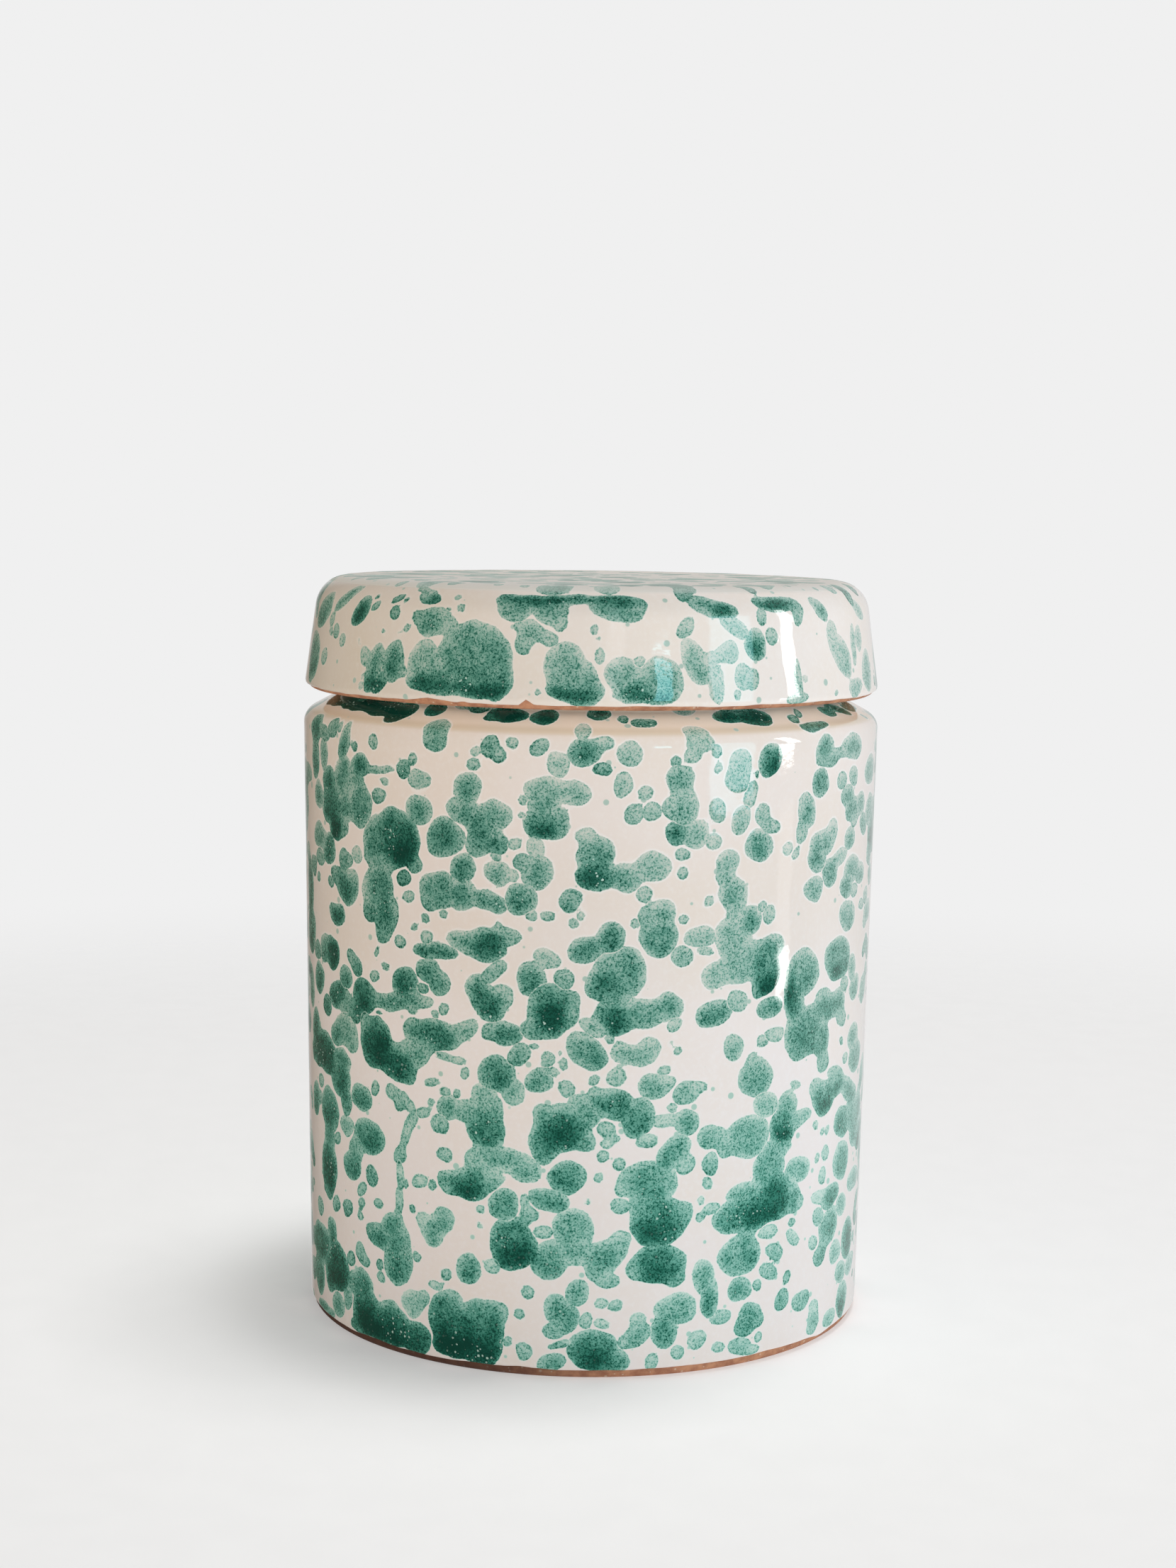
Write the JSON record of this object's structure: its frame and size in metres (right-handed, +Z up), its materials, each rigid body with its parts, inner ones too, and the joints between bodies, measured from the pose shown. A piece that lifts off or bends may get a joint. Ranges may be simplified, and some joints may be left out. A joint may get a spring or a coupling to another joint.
{
  "type": "lidded jar",
  "caption": "Straight-sided glazed earthenware storage jar with a flat cap lid that lifts off its neck; cream glaze splattered with green, bare clay at foot and lid rim.",
  "frame": {"origin": "centre of the foot, on the surface the jar stands on", "axes": "+Z up along the jar's axis; the jar is round, so X and Y are free"},
  "size_m": [0.1306, 0.1306, 0.1665],
  "materials": {
    "bare_clay": "matt fired red earthenware",
    "glaze": "glossy cream glaze splattered with copper green"
  },
  "bodies": {
    "jar": {"jar_body": "bare_clay", "jar_glaze": "glaze"},
    "lid": {"lid_body": "bare_clay", "lid_outer_glaze": "glaze", "lid_inner_glaze": "glaze"}
  },
  "joints": [
    {"name": "lid_lift", "type": "slide", "parent": "jar", "child": "lid", "axis": [0, 0, 1], "range_m": [0, 0.06]}
  ]
}
